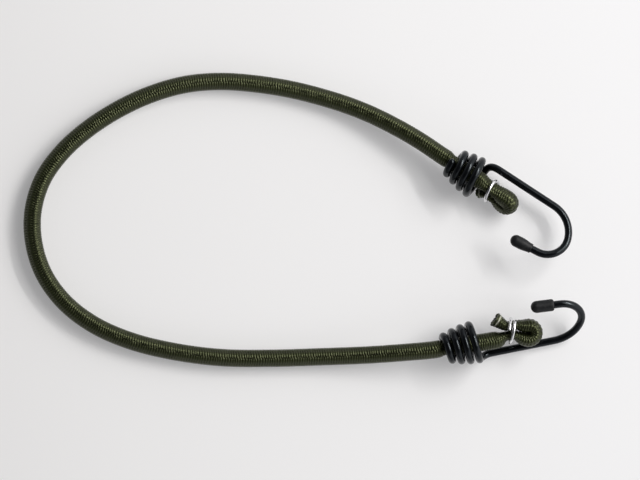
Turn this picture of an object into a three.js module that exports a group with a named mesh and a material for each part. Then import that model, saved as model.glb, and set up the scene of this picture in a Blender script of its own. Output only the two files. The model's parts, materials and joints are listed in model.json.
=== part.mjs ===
// Bungee cord: a braided elastic cord lying in a U, with a coiled wire hook wound round each end.
// Millimetres, +Z up. It lies on the plane z = 0 with both hooks towards +X.
import * as THREE from 'three';

// Clearance between pieces that touch on the real cord
const clearance = 0.3;

// Cord: braided sheath over a bundle of rubber strands, one in the middle and a ring round it
const cordDiameter = 8;
const sheathWall = 0.8;
const ringStrands = 6;
const strandGap = 0.2;
const cordSides = 12;
const strandSides = 5;
const cordSteps = 28;

// Hook wire, with its vinyl coating
const wireDiameter = 2.3;
const coatingDiameter = 3.5;
const wireSides = 5;
const coatingSides = 6;

// Hook coil: a conical helix that opens towards the hook
const coilTurns = 3.75;
const coilNarrowBore = 7.2;
const coilWideBore = 13.4;
const coilTurnGap = 0.65;
const coilStepsPerTurn = 20;

// Hook shank and J, seen square to the plane that they bend in: a wide bend, then a tighter one
const coilExitAngle = 36;
const coilExitRun = 5.6;
const coilExitPull = 3.6;
const coilExitSteps = 7;
const shankStandOff = 0.8;
const shankLength = 35.2;
const shoulderRadius = 14.5;
const shoulderAngle = 70;
const shoulderSteps = 5;
const throatRadius = 10;
const throatAngle = 104;
const throatSteps = 8;
const armLength = 11.2;

// Cap on the hook's tip
const capDiameter = 5.6;
const capMouthDiameter = 5;
const capLength = 10.6;
const capDepth = 8;
const capMouthChamfer = 0.5;
const capSides = 12;
const domeSteps = 5;

// Folded end: how much the round cord is squashed across the fold, and spread or narrowed beside it
const mouthRun = 3;
const foldSquash = 1.1;
const foldSpread = 0.1;
const foldEye = 0.7;
const foldLength = 14.6;
const foldSteps = 8;
const pinchSquash = 1.9;
const pinchNarrowing = 0.5;
const pinchEase = 4;
const tailSquash = 1;
const tailNarrowing = 0.4;
const tailFlare = 42;
const coreFit = 0.2;
const easeSteps = 3;

// Wire clip closed round both strands of the folded end
const clipWire = 1.6;
const clipTurns = 1.11;
const clipTurnGap = 0.6;
const clipStartAngle = 40;
const clipLean = 1.5;
const clipSideGap = 0.9;
const clipSteps = 30;
const clipSides = 6;

// Each end: where its coil starts and how the hook and the cord in it lie. The shank's and the fold's
// angles turn about the coil's axis, from its left side upwards. The clip sits so far past the coil,
// and the middles of the clip and of the fold so far across from the cord's own line.
const ends = {
  a: {
    x: 67.3, y: 26.8, hookYaw: -33.2, cordYaw: -33.2, droop: -1.5, shank: 344, fold: 235,
    clipPastCoil: 7.1, clipMiddle: 2.25, foldMiddle: 3.2, tail: 3.3,
  },
  b: {
    x: 64, y: -59.2, hookYaw: 11.2, cordYaw: 8.7, droop: 1.5, shank: 225, fold: 8,
    clipPastCoil: 16, clipMiddle: 3.4, foldMiddle: 1.1, tail: 6.2,
  },
};

// The cord's route from mouth a to mouth b: x, y, and how much of the climb to that mouth is done
const routeFromA = [
  [53.2, 36.2, 0.93], [43.2, 42.1, 0.7], [29.2, 49.1, 0.36], [15.2, 54.4, 0.12],
  [-5.8, 60.1, 0], [-25.8, 63.2, 0], [-40.8, 64, 0], [-55.8, 62.6, 0], [-70.8, 58.4, 0],
  [-85.8, 51.6, 0], [-100.8, 42, 0], [-112.8, 31.2, 0], [-121.8, 18.4, 0], [-126.2, 3.4, 0],
];
const routeToB = [
  [-125.6, -11.6, 0], [-120.8, -25.6, 0], [-111.3, -38.4, 0], [-97.8, -48.6, 0], [-80.8, -56, 0],
  [-60.8, -60.9, 0], [-38.8, -63.7, 0], [-15.8, -64, 0], [7.2, -63.3, 0.1], [29.2, -62.4, 0.45],
  [47.2, -61.1, 0.87],
];

// Sizes that follow from the ones above
const cordRadius = cordDiameter / 2;
const boreRadius = cordRadius - sheathWall;
const strandRadius = (boreRadius - 2 * strandGap) / 3;
const strandPitch = 2 * strandRadius + strandGap;
const coatingRadius = coatingDiameter / 2;
const coilPitch = coatingDiameter + coilTurnGap;
const coilLength = coilPitch * coilTurns;
const coilNarrowRadius = coilNarrowBore / 2 + coatingRadius;
const coilWideRadius = coilWideBore / 2 + coatingRadius;
const shankOffset = coilWideRadius + shankStandOff;
const foldHalf = cordRadius - foldSquash;
const foldWide = cordRadius + foldSpread;
const pinchHalf = cordRadius - pinchSquash;
const pinchWide = cordRadius - pinchNarrowing;
const tailHalf = cordRadius - tailSquash;
const tailWide = cordRadius - tailNarrowing;
const clipPitch = clipWire + clipTurnGap;
const clipReach = (clipPitch * clipTurns + clipLean + clipWire) / 2;
const pinchSpacing = 2 * pinchHalf + clearance;
const foldRadius = foldHalf + foldEye / 2;

const materials = {
  sheath: new THREE.MeshStandardMaterial({ color: 0x3c4126, roughness: 0.85, metalness: 0 }),
  rubber: new THREE.MeshStandardMaterial({ color: 0x2b231d, roughness: 0.7, metalness: 0 }),
  wire: new THREE.MeshStandardMaterial({ color: 0x8d9093, roughness: 0.4, metalness: 1 }),
  coating: new THREE.MeshStandardMaterial({ color: 0x0c0c0e, roughness: 0.28, metalness: 0 }),
  cap: new THREE.MeshStandardMaterial({ color: 0x0e0e10, roughness: 0.6, metalness: 0 }),
  clip: new THREE.MeshStandardMaterial({ color: 0xc8cace, roughness: 0.22, metalness: 1 }),
};

const radians = THREE.MathUtils.degToRad;
const mix = THREE.MathUtils.lerp;
const point = (x, y, z) => new THREE.Vector3(x, y, z);

function piece(name, geometry, material) {
  const mesh = new THREE.Mesh(geometry, material);
  mesh.name = name;
  return mesh;
}

// Corner angles of a section, set so that a flat faces the section's first axis
function cornerAngles(sides) {
  return Array.from({ length: sides }, (_, k) => ((k + 0.5) * 2 * Math.PI) / sides);
}

// Round section as a polygon whose flats lie on the circle
function roundSection(radius, sides, centre = new THREE.Vector2()) {
  const corner = radius / Math.cos(Math.PI / sides);
  return cornerAngles(sides).map(
    (angle) => new THREE.Vector2(corner * Math.cos(angle), corner * Math.sin(angle)).add(centre),
  );
}

// Closed skin over a row of rings, with end caps, or with rims where a bore runs through
function skin(rings, bore) {
  const sides = rings[0].length;
  const corners = [...rings, ...(bore ?? [])].flat();
  const index = [];
  const quad = (a, b, c, d) => index.push(a, b, c, a, c, d);
  const last = (rings.length - 1) * sides;
  const inside = rings.length * sides;
  for (let k = 0; k < sides; k++) {
    const next = (k + 1) % sides;
    for (let row = 0; row < last; row += sides) {
      quad(row + k, row + next, row + sides + next, row + sides + k);
      if (bore) {
        quad(inside + row + k, inside + row + sides + k, inside + row + sides + next, inside + row + next);
      }
    }
    if (bore) {
      quad(k, inside + k, inside + next, next);
      quad(last + k, last + next, inside + last + next, inside + last + k);
    } else if (k > 0 && next > 0) {
      index.push(0, next, k);
      index.push(last, last + k, last + next);
    }
  }
  const geometry = new THREE.BufferGeometry().setFromPoints(corners);
  geometry.setIndex(index);
  return geometry;
}

// Direction of a row of points at each of them
function directions(points) {
  return points.map((_, i) => {
    const before = points[Math.max(i - 1, 0)];
    const after = points[Math.min(i + 1, points.length - 1)];
    return after.clone().sub(before).normalize();
  });
}

// Rings of a bent wire: its corners lie on the wire's circle, and a flat faces outwards
function wireRings(points, outwards, radius, sides) {
  const along = directions(points);
  return points.map((centre, i) => {
    const out = outwards[i].clone().addScaledVector(along[i], -outwards[i].dot(along[i])).normalize();
    const side = along[i].clone().cross(out);
    return cornerAngles(sides).map((angle) => centre.clone()
      .addScaledVector(out, radius * Math.cos(angle))
      .addScaledVector(side, radius * Math.sin(angle)));
  });
}

// Least gap of a wire to itself, between points at least so many steps apart
function leastGap(points, diameter, apart) {
  let least = Infinity;
  for (let i = 0; i < points.length; i++) {
    for (let j = i + apart; j < points.length; j++) {
      least = Math.min(least, points[i].distanceTo(points[j]));
    }
  }
  return least - diameter;
}

// Radius of the coil's centreline at a distance along its axis: it opens fast, then levels
function coilRadius(along) {
  return mix(coilNarrowRadius, coilWideRadius, Math.sin((Math.PI / 2) * Math.min(along / coilLength, 1)));
}

// Hook wire's centreline: x runs along the coil's axis, the shank lies on the -Y side, the J in XY
function hookLine() {
  const points = [];
  const outwards = [];
  const add = (place, outward) => {
    points.push(place);
    outwards.push(outward);
  };
  const radial = (place) => point(0, place.y, place.z).normalize();

  // Coil: a right-handed helix that reaches the shank's side after its full turns
  const helix = (turn) => {
    const angle = Math.PI + 2 * Math.PI * (turn - coilTurns);
    const radius = coilRadius(turn * coilPitch);
    return point(turn * coilPitch, radius * Math.cos(angle), radius * Math.sin(angle));
  };
  const helixTurns = coilTurns - coilExitAngle / 360;
  const helixSteps = Math.round(helixTurns * coilStepsPerTurn);
  for (let i = 0; i <= helixSteps; i++) {
    const place = helix((helixTurns * i) / helixSteps);
    add(place, radial(place));
  }

  // Exit: the wire turns from round the coil to along the shank
  const exitStart = helix(helixTurns);
  const exitWay = exitStart.clone().sub(helix(helixTurns - 1 / coilStepsPerTurn)).normalize();
  const exitEnd = point(coilLength + coilExitRun, -shankOffset, 0);
  const exit = new THREE.CubicBezierCurve3(
    exitStart,
    exitStart.clone().addScaledVector(exitWay, coilExitPull),
    exitEnd.clone().add(point(-coilExitPull, 0, 0)),
    exitEnd,
  );
  for (let i = 1; i <= coilExitSteps; i++) {
    const place = exit.getPoint(i / coilExitSteps);
    add(place, radial(place));
  }

  // J: two arcs from the end of the shank, then a straight arm to the tip
  const bend = (centre, radius, from, angle, steps) => {
    for (let i = 1; i <= steps; i++) {
      const heading = radians(from + (angle * i) / steps);
      const outward = point(Math.sin(heading), -Math.cos(heading), 0);
      add(centre.clone().addScaledVector(outward, radius), outward);
    }
  };
  const shoulder = point(coilLength + shankLength, shoulderRadius - shankOffset, 0);
  add(point(shoulder.x, -shankOffset, 0), point(0, -1, 0));
  bend(shoulder, shoulderRadius, 0, shoulderAngle, shoulderSteps);
  const throat = shoulder.clone().addScaledVector(outwards.at(-1), shoulderRadius - throatRadius);
  bend(throat, throatRadius, shoulderAngle, throatAngle, throatSteps);
  const heading = radians(shoulderAngle + throatAngle);
  const armWay = point(Math.cos(heading), Math.sin(heading), 0);
  const tip = points.at(-1).clone().addScaledVector(armWay, armLength);
  add(tip, outwards.at(-1));
  return { points, outwards, armWay, tip };
}

// Cap on the tip, turned about its own Y axis, which runs out of the wire's end at y = 0
function tipCap() {
  const radius = capDiameter / 2;
  const bore = coatingRadius + clearance;
  const top = capLength - capDepth;
  const profile = [
    [0, clearance], [bore, clearance], [bore, -capDepth], [capMouthDiameter / 2, -capDepth],
    [radius, capMouthChamfer - capDepth],
  ];
  for (let i = 0; i < domeSteps; i++) {
    const rise = (i / domeSteps) * (Math.PI / 2);
    profile.push([radius * Math.cos(rise), top - radius + radius * Math.sin(rise)]);
  }
  profile.push([0, top]);
  return new THREE.LatheGeometry(profile.map(([x, y]) => new THREE.Vector2(x, y)), capSides);
}

function hook(name) {
  const { points, outwards, armWay, tip } = hookLine();
  const outer = wireRings(points, outwards, coatingRadius, coatingSides);
  const inner = wireRings(points, outwards, wireDiameter / 2 + clearance, coatingSides);
  const wire = wireRings(points, outwards, wireDiameter / 2, wireSides);
  const cap = piece(`tip_cap_${name}`, tipCap(), materials.cap);
  cap.position.copy(tip);
  cap.quaternion.setFromUnitVectors(point(0, 1, 0), armWay);
  const group = new THREE.Group();
  group.add(
    piece(`hook_wire_${name}`, skin(wire), materials.wire),
    piece(`hook_coating_${name}`, skin(outer, inner), materials.coating),
    cap,
  );
  const gap = leastGap(points, coatingDiameter, coilStepsPerTurn / 2);
  console.log(`hook ${name}: the coil's least gap to itself is ${gap.toFixed(2)} mm`);
  return group;
}

// Folded end's line: x along the coil's axis, y across the fold, with half sizes across and out of it
function foldStations(end, clipAt) {
  const stations = [];
  const add = (x, y, half, wide) => stations.push({ x, y, half, wide });
  const ease = (from, to) => {
    const swells = to.half > from.half;
    for (let i = 1; i <= easeSteps; i++) {
      const t = i / easeSteps;
      const fill = swells ? t ** 2 : t * (2 - t);
      add(
        mix(from.x, to.x, t), mix(from.y, to.y, THREE.MathUtils.smoothstep(t, 0, 1)),
        mix(from.half, to.half, fill), mix(from.wide, to.wide, fill),
      );
    }
  };

  // Through the coil: the narrow turn squeezes the cord, and the wider ones let it out again
  const tilt = Math.abs(Math.sin(radians(end.hookYaw - end.cordYaw)));
  const cone = Math.hypot(1, (Math.PI / 2) * ((coilWideRadius - coilNarrowRadius) / coilLength));
  const room = (x) => {
    const wire = x < 0 ? Math.sqrt(Math.max(coatingRadius ** 2 - x ** 2, 0)) : coatingRadius * cone;
    return coilRadius(Math.max(x, 0)) - wire - clearance - tilt * Math.abs(x);
  };
  const out = { x: clipAt - clipLean / 2, y: end.clipMiddle - pinchSpacing / 2 };
  const neckEnd = Math.max(coilLength, out.x - clipReach - pinchEase);
  const straight = [
    clearance - mouthRun, -coatingRadius, -coatingRadius / 2, 0, coilPitch / 2, coilPitch, 1.5 * coilPitch,
    coilLength, neckEnd,
  ];
  for (const x of new Set(straight)) {
    const radius = Math.min(cordRadius, room(x) * Math.cos(Math.PI / cordSides));
    add(x, 0, radius, radius);
  }

  // To the clip, round the fold and back, pinched where the clip's leaning ring holds each strand
  const pinch = { half: pinchHalf, wide: pinchWide };
  const back = { x: clipAt + clipLean / 2, y: end.clipMiddle + pinchSpacing / 2 };
  const foldX = clipAt + foldLength - foldRadius - foldHalf;
  const foldStart = { x: foldX, y: end.foldMiddle - foldRadius, half: foldHalf, wide: foldWide };
  ease(stations.at(-1), { ...pinch, x: out.x - clipReach, y: out.y });
  add(out.x + clipReach, out.y, pinchHalf, pinchWide);
  ease(stations.at(-1), foldStart);
  for (let i = 1; i <= foldSteps; i++) {
    const turn = (Math.PI * i) / foldSteps;
    add(
      foldX + foldRadius * Math.sin(turn), end.foldMiddle - foldRadius * Math.cos(turn), foldHalf, foldWide,
    );
  }
  ease(stations.at(-1), { ...pinch, x: back.x + clipReach, y: back.y });
  add(back.x - clipReach, back.y, pinchHalf, pinchWide);

  // Tail: it flares away from the clip to its cut end
  const flare = radians(tailFlare);
  const tailStart = stations.at(-1);
  for (let i = 1; i <= easeSteps; i++) {
    const t = i / easeSteps;
    add(
      tailStart.x - end.tail * t * Math.cos(flare), tailStart.y + end.tail * t * Math.sin(flare),
      mix(pinchHalf, tailHalf, t), mix(pinchWide, tailWide, t),
    );
  }
  return stations;
}

// Oval rings on the folded end's line, drawn in by so much from the cord's surface
function foldRings(stations, inset) {
  const centres = stations.map(({ x, y }) => point(x, y, 0));
  const along = directions(centres);
  const corner = 1 / Math.cos(Math.PI / cordSides);
  return centres.map((centre, i) => {
    const across = point(-along[i].y, along[i].x, 0);
    const half = (stations[i].half - inset) * corner;
    const wide = (stations[i].wide - inset) * corner;
    return cornerAngles(cordSides).map((angle) => centre.clone()
      .addScaledVector(across, half * Math.cos(angle))
      .add(point(0, 0, wide * Math.sin(angle))));
  });
}

// Clip: a ring of a little over one turn that leans along the cord, its ends lying side by side
function clipRing(name, clipAt, middle) {
  const reachY = pinchSpacing / 2 + pinchHalf + clearance + clipWire / 2;
  const reachZ = pinchWide + clipSideGap + clipWire / 2;
  const points = [];
  const outwards = [];
  for (let i = 0; i <= clipSteps; i++) {
    const turn = clipTurns * (i / clipSteps);
    const angle = radians(clipStartAngle) + 2 * Math.PI * turn;
    const along = clipPitch * (clipTurns / 2 - turn) + clipLean * Math.cos(angle);
    const outward = point(0, Math.cos(angle), Math.sin(angle));
    outwards.push(outward);
    points.push(point(clipAt + along, middle + reachY * outward.y, reachZ * outward.z));
  }
  const gap = leastGap(points, clipWire, clipSteps / 2);
  console.log(`clip ${name}: the ring's least gap to itself is ${gap.toFixed(2)} mm`);
  return piece(`clip_${name}`, skin(wireRings(points, outwards, clipWire / 2, clipSides)), materials.clip);
}

function foldedEnd(name, end) {
  const clipAt = coilLength + end.clipPastCoil;
  const stations = foldStations(end, clipAt);
  const sheath = skin(foldRings(stations, 0), foldRings(stations, sheathWall));
  const core = skin(foldRings(stations, sheathWall + coreFit));
  const group = new THREE.Group();
  group.add(
    piece(`sheath_end_${name}`, sheath, materials.sheath),
    piece(`core_end_${name}`, core, materials.rubber),
    clipRing(name, clipAt, end.clipMiddle),
  );
  return group;
}

// Puts a group on an end's coil axis, turned about that axis, with the coil's wide end on the table
function place(group, end, yaw, roll) {
  const height = coilWideRadius + coatingRadius + coilLength * Math.sin(radians(end.droop));
  group.position.set(end.x, end.y, height);
  group.rotation.set(radians(roll), radians(end.droop), radians(yaw), 'ZYX');
  group.updateMatrixWorld();
  return group;
}

// Curve that stays on the table, with its section upright, so that one flat always faces the table
class LyingCurve extends THREE.CatmullRomCurve3 {
  getPoint(t, target) {
    const place = super.getPoint(t, target);
    return place.setZ(Math.max(place.z, cordRadius));
  }

  computeFrenetFrames(steps) {
    const frames = { tangents: [], normals: [], binormals: [] };
    for (let i = 0; i <= steps; i++) {
      const along = this.getTangentAt(i / steps);
      const up = point(0, 0, 1).addScaledVector(along, -along.z).normalize();
      frames.tangents.push(along);
      frames.normals.push(up);
      frames.binormals.push(along.clone().cross(up));
    }
    return frames;
  }
}

// The free cord's line, straight out of each coil's mouth and down to the table
function cordLine(endA, endB) {
  const straight = (group) => [2 * mouthRun, mouthRun].map((x) => group.localToWorld(point(-x, 0, 0)));
  const fromA = straight(endA);
  const toB = straight(endB);
  const lift = (run, mouth) => run.map(([x, y, climb]) => point(x, y, mix(cordRadius, mouth.z, climb)));
  const curve = new LyingCurve([
    fromA[1], fromA[0], ...lift(routeFromA, fromA[1]), ...lift(routeToB, toB[1]), toB[0], toB[1],
  ]);
  curve.arcLengthDivisions = 20 * cordSteps;
  return curve;
}

function freeCord(line) {
  const along = { steps: cordSteps, bevelEnabled: false, extrudePath: line };
  const shell = new THREE.Shape(roundSection(cordRadius, cordSides));
  shell.holes.push(new THREE.Path(roundSection(boreRadius, cordSides)));
  const pieces = [piece('cord_sheath', new THREE.ExtrudeGeometry(shell, along), materials.sheath)];
  for (let i = 0; i <= ringStrands; i++) {
    const angle = (2 * Math.PI * i) / ringStrands;
    const centre = new THREE.Vector2(Math.cos(angle), Math.sin(angle)).multiplyScalar(i ? strandPitch : 0);
    const section = roundSection(strandRadius * Math.cos(Math.PI / strandSides), strandSides, centre);
    const geometry = new THREE.ExtrudeGeometry(new THREE.Shape(section), along);
    pieces.push(piece(`core_strand_${i + 1}`, geometry, materials.rubber));
  }
  return pieces;
}

const bungee = new THREE.Group();
const folded = {};
for (const [name, end] of Object.entries(ends)) {
  folded[name] = place(foldedEnd(name, end), end, end.cordYaw, end.fold);
  bungee.add(folded[name], place(hook(name), end, end.hookYaw, end.shank - 180));
}
const line = cordLine(folded.a, folded.b);
console.log(`free cord: ${line.getLength().toFixed(0)} mm from coil to coil`);
bungee.add(...freeCord(line));

export default bungee;
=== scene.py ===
import json

import bpy
import numpy as np
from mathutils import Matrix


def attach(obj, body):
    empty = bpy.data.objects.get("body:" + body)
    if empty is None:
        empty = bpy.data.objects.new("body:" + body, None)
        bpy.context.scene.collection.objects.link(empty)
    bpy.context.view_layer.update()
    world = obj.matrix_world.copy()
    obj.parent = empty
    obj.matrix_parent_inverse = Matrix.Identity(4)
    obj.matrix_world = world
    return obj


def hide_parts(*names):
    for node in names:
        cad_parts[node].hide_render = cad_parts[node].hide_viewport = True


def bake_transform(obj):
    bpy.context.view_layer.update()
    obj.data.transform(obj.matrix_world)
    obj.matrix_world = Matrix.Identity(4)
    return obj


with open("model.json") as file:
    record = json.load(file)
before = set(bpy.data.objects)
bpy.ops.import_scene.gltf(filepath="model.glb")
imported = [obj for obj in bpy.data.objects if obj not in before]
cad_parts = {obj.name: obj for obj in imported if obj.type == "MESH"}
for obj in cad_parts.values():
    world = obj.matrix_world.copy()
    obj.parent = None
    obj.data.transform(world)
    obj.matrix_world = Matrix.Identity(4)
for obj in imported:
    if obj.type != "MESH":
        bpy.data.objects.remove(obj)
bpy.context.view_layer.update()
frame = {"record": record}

# Bungee cord lying in a U, seen from straight above. Metres and degrees, in the part's own frame.
joints = {joint["name"]: joint for joint in frame["record"]["behaviour"]["joints"]}
scene = bpy.context.scene
scene.view_settings.view_transform = "Standard"


# Points and turns, as whole arrays
def unit(vectors):  # each vector divided by its own length
    return vectors / np.linalg.norm(vectors, axis=-1, keepdims=True)


def smooth(t):  # 3t^2 - 2t^3, from 0 to 1 with level ends
    t = np.clip(t, 0, 1)
    return t * t * (3 - 2 * t)


def lengthsAlong(line):  # distance along a row of points, from its first one
    return np.concatenate([[0], np.cumsum(np.linalg.norm(np.diff(line, axis=0), axis=1))])


def readAt(where, along, values):  # values kept at distances along a line, read at other distances
    return np.stack([np.interp(where, along, column) for column in values.T], -1)


def turned(yaw, droop, roll):  # roll about X, then droop about Y, then yaw about Z
    (cz, cy, cx), (sz, sy, sx) = (f(np.radians([yaw, droop, roll])) for f in (np.cos, np.sin))
    aboutX = np.array([[1, 0, 0], [0, cx, -sx], [0, sx, cx]])
    aboutY = np.array([[cy, 0, sy], [0, 1, 0], [-sy, 0, cy]])
    aboutZ = np.array([[cz, -sz, 0], [sz, cz, 0], [0, 0, 1]])
    return aboutZ @ aboutY @ aboutX


# Meshes from grids of points
def gridShell(rings, looped=False, along=None, flatRows=(), **marks):
    # Each ring of points is joined to the next by quads. A looped row of rings closes on itself, as a tube
    # with a bore and two rims does. Otherwise a fan to the ring's own middle closes each end. The rows of
    # quads named flat, such as rims, keep their own shading.
    rows, sides = rings.shape[:2]
    along = np.linspace(0, 1, rows) if along is None else along
    low = np.arange(rows if looped else rows - 1)[:, None]
    high, left = (low + 1) % rows, np.arange(sides)[None]
    right = (left + 1) % sides
    lowStart, highStart = low * sides, high * sides
    quads = np.stack([lowStart + left, lowStart + right, highStart + right, highStart + left], -1)
    zero = np.zeros_like(left, float)
    quadU = np.stack([along[low] + zero, along[low] + zero, along[high] + zero, along[high] + zero], -1)
    quadV = np.stack([left, left + 1, left + 1, left], -1) / sides + 0 * quadU
    shell = {
        "points": rings.reshape(-1, 3), "quads": quads.reshape(-1, 4), "tris": np.zeros((0, 3), int),
        "quadUv": np.stack([quadU, quadV], -1).reshape(-1, 4, 2), "triUv": np.zeros((0, 3, 2)),
        "marks": {name: np.asarray(mark, float).reshape(-1) for name, mark in marks.items()},
        "smooth": np.repeat(~np.isin(low[:, 0], flatRows), sides),
    }
    if looped:
        return shell
    count = rows * sides
    first, last = left[0], (rows - 1) * sides + left[0]
    middle = np.full(sides, count)
    firstFan = np.stack([middle, right[0], first], -1)
    lastFan = np.stack([middle + 1, last, last - first + right[0]], -1)
    shell["points"] = np.vstack([shell["points"], rings[0].mean(0), rings[-1].mean(0)])
    shell["tris"] = np.vstack([firstFan, lastFan])
    fanV = np.stack([left[0] + 0.5, left[0], left[0] + 1], -1) / sides
    shell["triUv"] = np.vstack([np.stack([0 * fanV + along[end], fanV], -1) for end in (0, -1)])
    shell["marks"] = {
        name: np.concatenate([mark, [mark[:sides].mean(), mark[-sides:].mean()]])
        for name, mark in shell["marks"].items()
    }
    return shell


def signedVolume(shell):  # sum of the tetrahedra from the shell's own middle to its faces
    points = shell["points"] - shell["points"].mean(0)
    tris = np.vstack([shell["quads"][:, [0, 1, 2]], shell["quads"][:, [0, 2, 3]], shell["tris"]])
    a, b, c = (points[tris[:, k]] for k in range(3))
    return np.einsum("ij,ij->i", a, np.cross(b, c)).sum() / 6


def makePiece(name, shells, material):
    # Puts one or more closed shells into a mesh, facing outwards, with their UV map and marks
    loops, loopUvs, totals, shading, start = [], [], [], [], 0
    for shell in shells:
        order = 1 if signedVolume(shell) > 0 else -1
        for faces, uvs in (("quads", "quadUv"), ("tris", "triUv")):
            loops.append((shell[faces][:, ::order] + start).ravel())
            loopUvs.append(shell[uvs][:, ::order].reshape(-1, 2))
            totals.append(np.full(len(shell[faces]), shell[faces].shape[1]))
        shading += [shell["smooth"], np.ones(len(shell["tris"]), bool)]
        start += len(shell["points"])
    loops, loopUvs, totals, shading = map(np.concatenate, (loops, loopUvs, totals, shading))
    points = np.vstack([shell["points"] for shell in shells])
    mesh = bpy.data.meshes.new(name)
    mesh.vertices.add(start)
    mesh.vertices.foreach_set("co", points.astype(np.float32).ravel())
    mesh.loops.add(len(loops))
    mesh.loops.foreach_set("vertex_index", loops.astype(np.int32))
    mesh.polygons.add(len(totals))
    mesh.polygons.foreach_set("loop_start", (np.cumsum(totals) - totals).astype(np.int32))
    mesh.polygons.foreach_set("use_smooth", shading)
    mesh.update(calc_edges=True)
    mesh.uv_layers.new(name="UVMap").data.foreach_set("uv", loopUvs.astype(np.float32).ravel())
    for mark in shells[0]["marks"]:
        values = np.concatenate([shell["marks"][mark] for shell in shells])
        mesh.attributes.new(mark, "FLOAT", "POINT").data.foreach_set("value", values.astype(np.float32))
    piece = bpy.data.objects.new(name, mesh)
    scene.collection.objects.link(piece)
    mesh.materials.append(material)
    return piece


def sweptRings(line, outward, where, radii, sides):
    # Circle of radius r carried along a line: centre + r (out cos t + side sin t), square to the line
    along = lengthsAlong(line)
    ahead = unit(readAt(where, along, np.gradient(line, axis=0)))
    out = readAt(where, along, outward)
    out = unit(out - ahead * np.sum(out * ahead, -1, keepdims=True))
    side = np.cross(ahead, out)
    turn = np.linspace(0, 2 * np.pi, sides, endpoint=False)[None, :, None]
    reach = np.asarray(radii)[:, None, None]
    spokes = out[:, None] * np.cos(turn) + side[:, None] * np.sin(turn)
    return readAt(where, along, line)[:, None] + reach * spokes


# Materials
def newMaterial(name, **sockets):
    # A shader whose plain numbers and colours sit on its own sockets
    material = bpy.data.materials.new(name)
    material.use_nodes = True
    nodes, links = material.node_tree.nodes, material.node_tree.links
    shader = nodes["Principled BSDF"]
    for socket, value in sockets.items():
        shader.inputs[socket].default_value = value
    return material, nodes, links, shader


def addNoise(nodes, links, source, scale=1.0, detail=2.0, stretch=(1, 1, 1)):
    # Noise read at stretched coordinates
    coordinates = nodes.new("ShaderNodeTexCoord")
    mapping = nodes.new("ShaderNodeMapping")
    mapping.inputs["Scale"].default_value = stretch
    noise = nodes.new("ShaderNodeTexNoise")
    noise.inputs["Scale"].default_value = scale
    noise.inputs["Detail"].default_value = detail
    links.new(coordinates.outputs[source], mapping.inputs["Vector"])
    links.new(mapping.outputs["Vector"], noise.inputs["Vector"])
    return noise.outputs["Fac"]


def addRamp(nodes, links, factor, stops):
    # Colours at places from 0 to 1
    ramp = nodes.new("ShaderNodeValToRGB")
    while len(ramp.color_ramp.elements) < len(stops):
        ramp.color_ramp.elements.new(0.5)  # each gets its place below
    for element, (place, colour) in zip(ramp.color_ramp.elements, stops):
        element.position, element.color = place, (*colour, 1)
    links.new(factor, ramp.inputs["Fac"])
    return ramp.outputs["Color"]


mixSockets = {"factor": 0, "first": 6, "second": 7, "result": 2}  # of a Mix node that mixes colours


def addBlend(nodes, links, kind, **values):
    # Two colours mixed or multiplied; each value is a number, a colour or another node's output
    blend = nodes.new("ShaderNodeMix")
    blend.data_type, blend.blend_type = "RGBA", kind
    for title, value in values.items():
        socket = blend.inputs[mixSockets[title]]
        if isinstance(value, bpy.types.NodeSocket):
            links.new(value, socket)
        else:
            socket.default_value = value
    return blend.outputs[mixSockets["result"]]


def addBump(nodes, links, shader, height, look):
    # Small unevenness of the surface, from a texture
    bump = nodes.new("ShaderNodeBump")
    bump.inputs["Strength"].default_value = look["bump"]
    bump.inputs["Distance"].default_value = look["bumpDepth"]
    links.new(height, bump.inputs["Height"])
    links.new(bump.outputs["Normal"], shader.inputs["Normal"])


def grey(value):
    return (value, value, value)


oliveBraidLook = {
    "roughness": 0.3, "specular": 0.54, "shine": (0.88, 0.96, 0.52, 1),
    # painted shade: the yarn's colour darkens from a float's crown down into the valleys between floats
    "yarnWithPaintedShade": [  # from a valley up to a crown
        (0.1, (0.0012, 0.0014, 0.0008)), (0.62, (0.006, 0.0073, 0.0028)), (1.0, (0.025, 0.0315, 0.0105)),
    ],
    "fibres": (6800, 22, 1), "streaks": [(0.32, grey(0.35)), (0.68, grey(1.0))],
    "patchScale": 55.0, "patchDetail": 3.0, "patches": [(0.3, grey(0.82)), (0.7, grey(1.0))],
    "seal": (0.5, 0.5, 0.43, 1), "bump": 0.6, "bumpDepth": 0.00012,
}


def oliveBraid(look=oliveBraidLook):
    # Yarn with painted shade: dark between the floats and on their flanks, pale on their crowns; pale at
    # the cut, with fibres along each float
    material, nodes, links, shader = newMaterial("olive_braid", **{
        "Roughness": look["roughness"], "Specular IOR Level": look["specular"],
        "Specular Tint": look["shine"],
    })
    rise, cut = (nodes.new("ShaderNodeAttribute") for _ in range(2))
    rise.attribute_name, cut.attribute_name = "rise", "cut"
    # painted shade, read from each float's rise
    yarnWithPaintedShade = addRamp(nodes, links, rise.outputs["Fac"], look["yarnWithPaintedShade"])
    fibre = addNoise(nodes, links, "UV", stretch=look["fibres"])
    streaks = addRamp(nodes, links, fibre, look["streaks"])
    patch = addNoise(nodes, links, "Object", look["patchScale"], look["patchDetail"])
    patches = addRamp(nodes, links, patch, look["patches"])
    colour = addBlend(nodes, links, "MULTIPLY", factor=1.0, first=yarnWithPaintedShade, second=streaks)
    colour = addBlend(nodes, links, "MULTIPLY", factor=1.0, first=colour, second=patches)
    colour = addBlend(nodes, links, "MIX", factor=cut.outputs["Fac"], first=colour, second=look["seal"])
    links.new(colour, shader.inputs["Base Color"])
    addBump(nodes, links, shader, fibre, look)
    return material


latexCoreLook = {
    "roughness": 0.72, "specular": 0.3, "dustScale": 900.0, "dustDetail": 4.0,
    "dust": [(0.3, (0.016, 0.011, 0.008)), (0.75, (0.06, 0.044, 0.032))], "bump": 0.3, "bumpDepth": 0.00008,
}


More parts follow.
